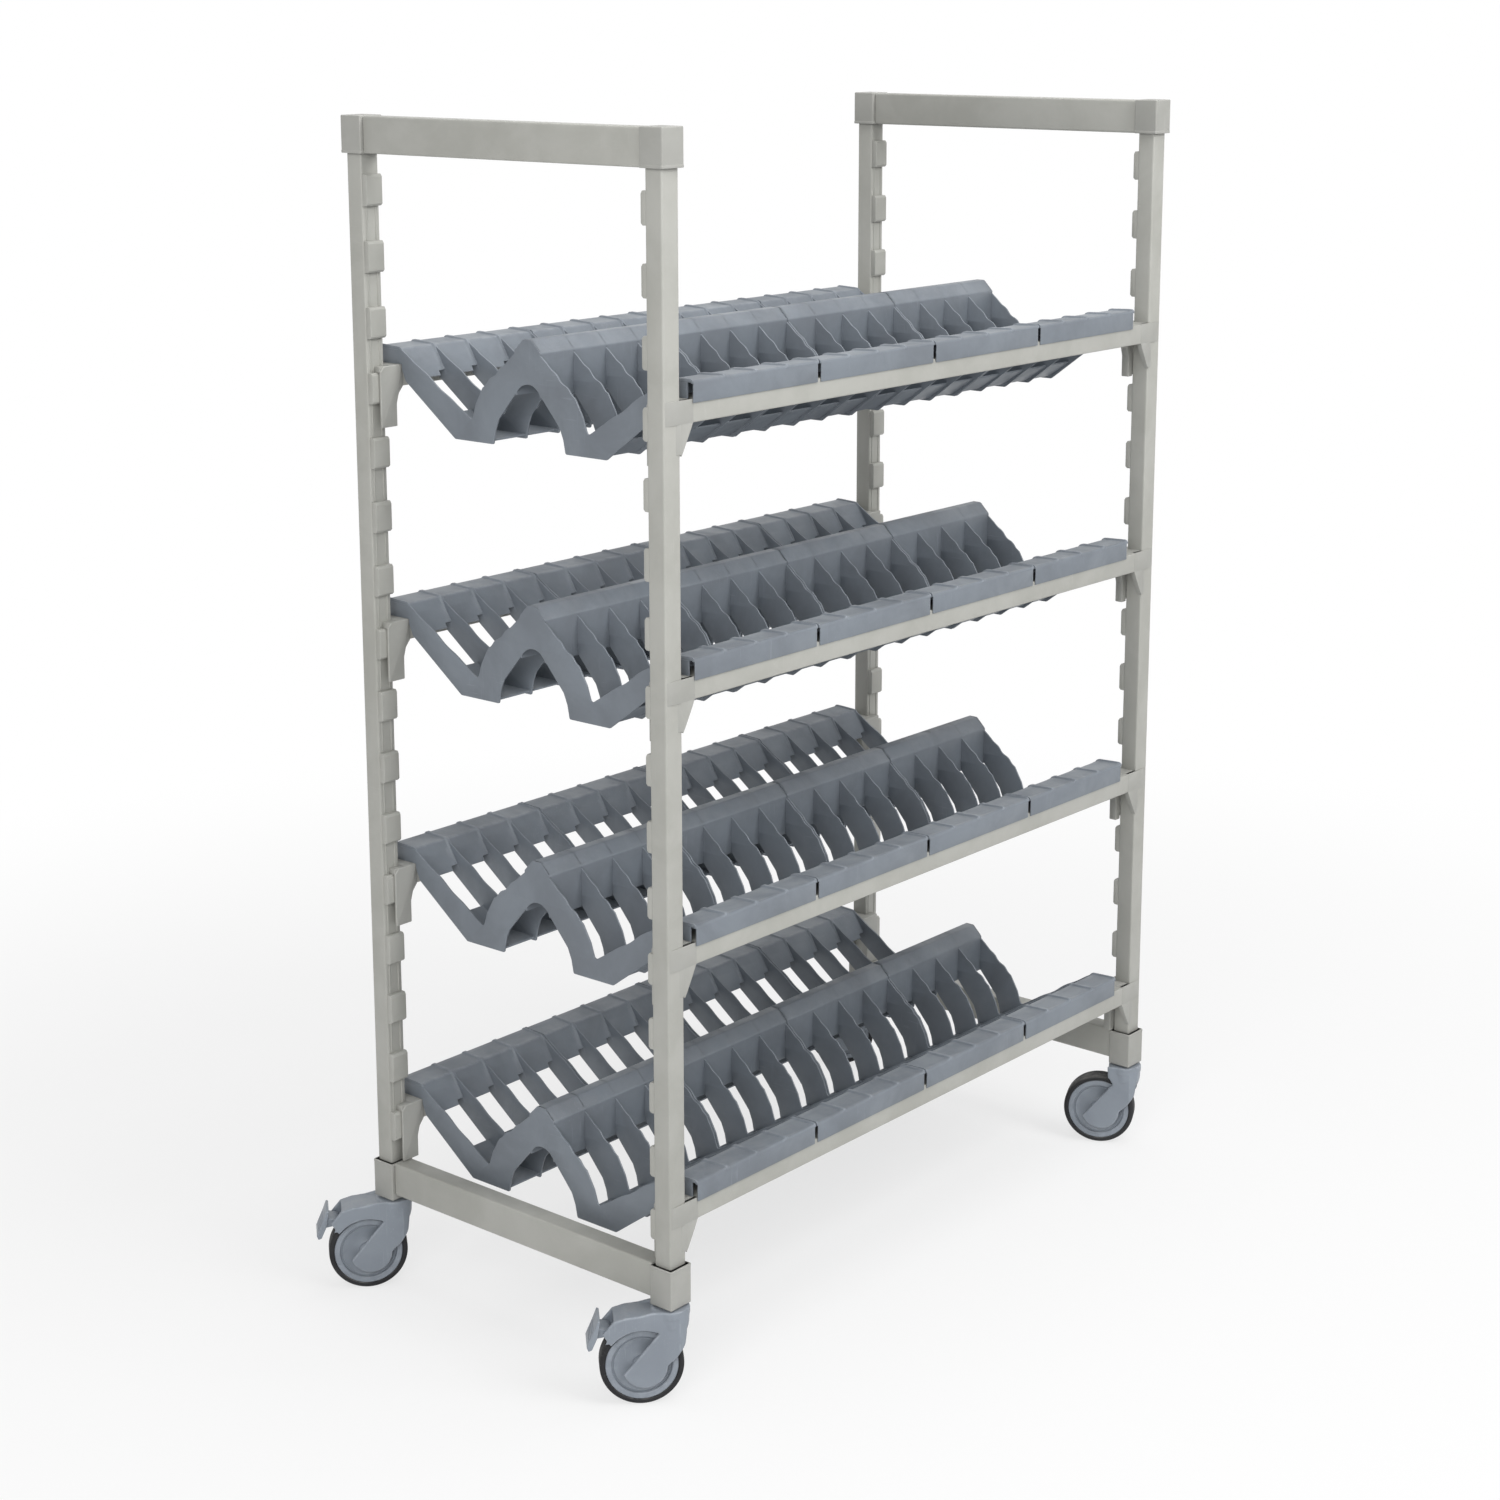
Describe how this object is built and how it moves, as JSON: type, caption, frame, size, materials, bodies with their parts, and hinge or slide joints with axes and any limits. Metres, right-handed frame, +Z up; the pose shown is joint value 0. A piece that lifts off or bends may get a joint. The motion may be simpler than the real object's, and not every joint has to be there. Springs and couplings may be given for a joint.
{
  "type": "mobile drying rack",
  "caption": "Tall mobile drying rack on swivel casters, with lift-off W-shaped finned cradles hung between adjustable traverses on lugged posts.",
  "frame": {"origin": "the point on the floor midway between the four posts", "axes": "+X along the rack's long side, from the end whose casters have brakes to the other; +Y across the rack to its back; +Z up"},
  "size_m": [1.3105, 0.6906, 1.778],
  "materials": {
    "frame_plastic": "satin, light warm grey",
    "fitting_plastic": "satin, light warm grey",
    "cradle_plastic": "satin, slate blue-grey",
    "caster_plastic": "satin, light blue-grey",
    "tyre_rubber": "matt black",
    "steel": "zinc-plated"
  },
  "bodies": {
    "frame": {"post_front_left": "frame_plastic", "post_back_left": "frame_plastic", "post_front_right": "frame_plastic", "post_back_right": "frame_plastic", "corner_caps": "fitting_plastic", "corner_sleeves": "fitting_plastic", "top_bar_left": "frame_plastic", "top_bar_right": "frame_plastic", "bottom_bar_left": "frame_plastic", "bottom_bar_right": "frame_plastic", "traverse_front_1": "frame_plastic", "traverse_front_2": "frame_plastic", "traverse_front_3": "frame_plastic", "traverse_front_4": "frame_plastic", "traverse_back_1": "frame_plastic", "traverse_back_2": "frame_plastic", "traverse_back_3": "frame_plastic", "traverse_back_4": "frame_plastic", "connectors_1": "fitting_plastic", "connectors_2": "fitting_plastic", "connectors_3": "fitting_plastic", "connectors_4": "fitting_plastic", "stem_sockets": "fitting_plastic", "swivel_stems": "steel", "swivel_washers": "steel"},
    "cradle_1a_body": {"cradle_1a": "cradle_plastic"},
    "cradle_1b_body": {"cradle_1b": "cradle_plastic"},
    "cradle_1c_body": {"cradle_1c": "cradle_plastic"},
    "cradle_1d_body": {"cradle_1d": "cradle_plastic"},
    "cradle_2a_body": {"cradle_2a": "cradle_plastic"},
    "cradle_2b_body": {"cradle_2b": "cradle_plastic"},
    "cradle_2c_body": {"cradle_2c": "cradle_plastic"},
    "cradle_2d_body": {"cradle_2d": "cradle_plastic"},
    "cradle_3a_body": {"cradle_3a": "cradle_plastic"},
    "cradle_3b_body": {"cradle_3b": "cradle_plastic"},
    "cradle_3c_body": {"cradle_3c": "cradle_plastic"},
    "cradle_3d_body": {"cradle_3d": "cradle_plastic"},
    "cradle_4a_body": {"cradle_4a": "cradle_plastic"},
    "cradle_4b_body": {"cradle_4b": "cradle_plastic"},
    "cradle_4c_body": {"cradle_4c": "cradle_plastic"},
    "cradle_4d_body": {"cradle_4d": "cradle_plastic"},
    "caster_front_left": {"fork_front_left": "caster_plastic", "axle_front_left": "steel"},
    "wheel_front_left_body": {"wheel_front_left": "caster_plastic", "tyre_front_left": "tyre_rubber"},
    "pedal_front_left_body": {"pedal_front_left": "caster_plastic"},
    "caster_back_left": {"fork_back_left": "caster_plastic", "axle_back_left": "steel"},
    "wheel_back_left_body": {"wheel_back_left": "caster_plastic", "tyre_back_left": "tyre_rubber"},
    "pedal_back_left_body": {"pedal_back_left": "caster_plastic"},
    "caster_front_right": {"fork_front_right": "caster_plastic", "axle_front_right": "steel"},
    "wheel_front_right_body": {"wheel_front_right": "caster_plastic", "tyre_front_right": "tyre_rubber"},
    "caster_back_right": {"fork_back_right": "caster_plastic", "axle_back_right": "steel"},
    "wheel_back_right_body": {"wheel_back_right": "caster_plastic", "tyre_back_right": "tyre_rubber"}
  },
  "joints": [
    {"name": "cradle_1a_lift", "type": "slide", "parent": "frame", "child": "cradle_1a_body", "axis": [0, 0, 1], "range_m": [0, 0.12]},
    {"name": "cradle_1b_lift", "type": "slide", "parent": "frame", "child": "cradle_1b_body", "axis": [0, 0, 1], "range_m": [0, 0.12]},
    {"name": "cradle_1c_lift", "type": "slide", "parent": "frame", "child": "cradle_1c_body", "axis": [0, 0, 1], "range_m": [0, 0.12]},
    {"name": "cradle_1d_lift", "type": "slide", "parent": "frame", "child": "cradle_1d_body", "axis": [0, 0, 1], "range_m": [0, 0.12]},
    {"name": "cradle_2a_lift", "type": "slide", "parent": "frame", "child": "cradle_2a_body", "axis": [0, 0, 1], "range_m": [0, 0.12]},
    {"name": "cradle_2b_lift", "type": "slide", "parent": "frame", "child": "cradle_2b_body", "axis": [0, 0, 1], "range_m": [0, 0.12]},
    {"name": "cradle_2c_lift", "type": "slide", "parent": "frame", "child": "cradle_2c_body", "axis": [0, 0, 1], "range_m": [0, 0.12]},
    {"name": "cradle_2d_lift", "type": "slide", "parent": "frame", "child": "cradle_2d_body", "axis": [0, 0, 1], "range_m": [0, 0.12]},
    {"name": "cradle_3a_lift", "type": "slide", "parent": "frame", "child": "cradle_3a_body", "axis": [0, 0, 1], "range_m": [0, 0.12]},
    {"name": "cradle_3b_lift", "type": "slide", "parent": "frame", "child": "cradle_3b_body", "axis": [0, 0, 1], "range_m": [0, 0.12]},
    {"name": "cradle_3c_lift", "type": "slide", "parent": "frame", "child": "cradle_3c_body", "axis": [0, 0, 1], "range_m": [0, 0.12]},
    {"name": "cradle_3d_lift", "type": "slide", "parent": "frame", "child": "cradle_3d_body", "axis": [0, 0, 1], "range_m": [0, 0.12]},
    {"name": "cradle_4a_lift", "type": "slide", "parent": "frame", "child": "cradle_4a_body", "axis": [0, 0, 1], "range_m": [0, 0.12]},
    {"name": "cradle_4b_lift", "type": "slide", "parent": "frame", "child": "cradle_4b_body", "axis": [0, 0, 1], "range_m": [0, 0.12]},
    {"name": "cradle_4c_lift", "type": "slide", "parent": "frame", "child": "cradle_4c_body", "axis": [0, 0, 1], "range_m": [0, 0.12]},
    {"name": "cradle_4d_lift", "type": "slide", "parent": "frame", "child": "cradle_4d_body", "axis": [0, 0, 1], "range_m": [0, 0.12]},
    {"name": "swivel_front_left", "type": "hinge", "parent": "frame", "child": "caster_front_left", "pos_m": [-0.58825, -0.28425, 0.1425], "axis": [0, 0, 1], "continuous": true},
    {"name": "roll_front_left", "type": "hinge", "parent": "caster_front_left", "child": "wheel_front_left_body", "pos_m": [-0.61846, -0.25507, 0.06], "axis": [-0.6947, -0.7193, 0], "continuous": true},
    {"name": "brake_front_left", "type": "hinge", "parent": "caster_front_left", "child": "pedal_front_left_body", "pos_m": [-0.65283, -0.22189, 0.11034], "axis": [-0.6947, -0.7193, 0], "range_deg": [0, 17]},
    {"name": "swivel_back_left", "type": "hinge", "parent": "frame", "child": "caster_back_left", "pos_m": [-0.58825, 0.28425, 0.1425], "axis": [0, 0, 1], "continuous": true},
    {"name": "roll_back_left", "type": "hinge", "parent": "caster_back_left", "child": "wheel_back_left_body", "pos_m": [-0.62042, 0.31125, 0.06], "axis": [-0.6428, -0.766, 0], "continuous": true},
    {"name": "brake_back_left", "type": "hinge", "parent": "caster_back_left", "child": "pedal_back_left_body", "pos_m": [-0.65702, 0.34195, 0.11034], "axis": [-0.6428, -0.766, 0], "range_deg": [0, 17]},
    {"name": "swivel_front_right", "type": "hinge", "parent": "frame", "child": "caster_front_right", "pos_m": [0.58825, -0.28425, 0.1425], "axis": [0, 0, 1], "continuous": true},
    {"name": "roll_front_right", "type": "hinge", "parent": "caster_front_right", "child": "wheel_front_right_body", "pos_m": [0.56984, -0.2465, 0.06], "axis": [-0.8988, -0.4384, 0], "continuous": true},
    {"name": "swivel_back_right", "type": "hinge", "parent": "frame", "child": "caster_back_right", "pos_m": [0.58825, 0.28425, 0.1425], "axis": [0, 0, 1], "continuous": true},
    {"name": "roll_back_right", "type": "hinge", "parent": "caster_back_right", "child": "wheel_back_right_body", "pos_m": [0.56476, 0.31907, 0.06], "axis": [-0.829, -0.5592, 0], "continuous": true}
  ]
}
